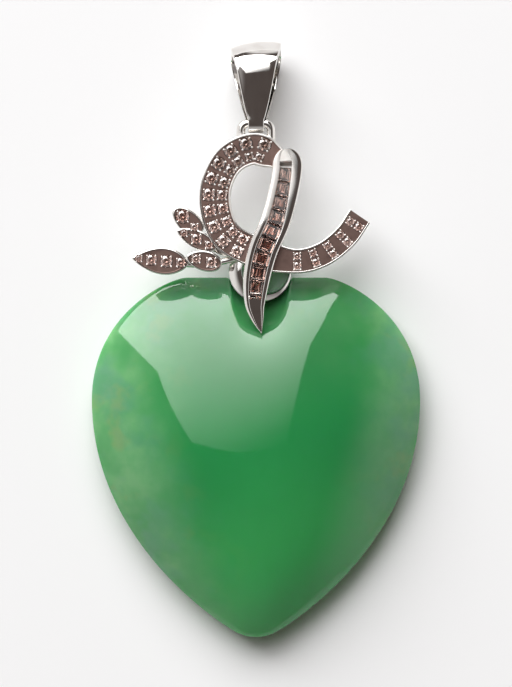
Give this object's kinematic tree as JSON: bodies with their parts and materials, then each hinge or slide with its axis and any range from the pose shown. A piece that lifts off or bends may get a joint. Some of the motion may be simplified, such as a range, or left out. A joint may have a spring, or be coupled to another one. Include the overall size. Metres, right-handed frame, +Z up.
{
  "type": "jade heart pendant",
  "caption": "Domed green jade heart pendant with a diamond-set white-gold ribbon surmount, leaf sprays and a loose tapered bail, lying face up.",
  "frame": {"origin": "on the surface that the pendant lies on, under the middle of its outline seen from above", "axes": "+Z up, out of the heart's domed face; +Y from the heart's point to the bail, as it hangs; +X to the right of the face"},
  "size_m": [0.0242, 0.0438, 0.0062],
  "materials": {
    "jade": "polished",
    "white_gold": "polished",
    "diamond": "polished"
  },
  "bodies": {
    "root": {"bail": "white_gold", "jade_heart": "jade", "leaf_1_diamond_1": "diamond", "leaf_1_diamond_2": "diamond", "leaf_1_diamond_3": "diamond", "leaf_1_diamond_4": "diamond", "leaf_2_diamond_1": "diamond", "leaf_2_diamond_2": "diamond", "leaf_3_diamond_1": "diamond", "leaf_3_diamond_2": "diamond", "leaf_3_diamond_3": "diamond", "leaf_4_diamond_1": "diamond", "leaf_4_diamond_2": "diamond", "ribbon_diamond_inner_01": "diamond", "ribbon_diamond_inner_02": "diamond", "ribbon_diamond_inner_03": "diamond", "ribbon_diamond_inner_04": "diamond", "ribbon_diamond_inner_05": "diamond", "ribbon_diamond_inner_06": "diamond", "ribbon_diamond_inner_07": "diamond", "ribbon_diamond_inner_08": "diamond", "ribbon_diamond_inner_09": "diamond", "ribbon_diamond_inner_10": "diamond", "ribbon_diamond_outer_01": "diamond", "ribbon_diamond_outer_02": "diamond", "ribbon_diamond_outer_03": "diamond", "ribbon_diamond_outer_04": "diamond", "ribbon_diamond_outer_05": "diamond", "ribbon_diamond_outer_06": "diamond", "ribbon_diamond_outer_07": "diamond", "ribbon_diamond_outer_08": "diamond", "ribbon_diamond_outer_09": "diamond", "ribbon_diamond_outer_10": "diamond", "strand_baguette_1": "diamond", "strand_baguette_2": "diamond", "strand_baguette_3": "diamond", "strand_baguette_4": "diamond", "strand_baguette_5": "diamond", "strand_baguette_6": "diamond", "strand_baguette_7": "diamond", "strand_baguette_8": "diamond", "strand_baguette_9": "diamond", "surmount": "white_gold", "tail_diamond_inner_01": "diamond", "tail_diamond_inner_02": "diamond", "tail_diamond_inner_03": "diamond", "tail_diamond_inner_04": "diamond", "tail_diamond_inner_05": "diamond", "tail_diamond_outer_01": "diamond", "tail_diamond_outer_02": "diamond", "tail_diamond_outer_03": "diamond", "tail_diamond_outer_04": "diamond", "tail_diamond_outer_05": "diamond"}
  },
  "joints": []
}
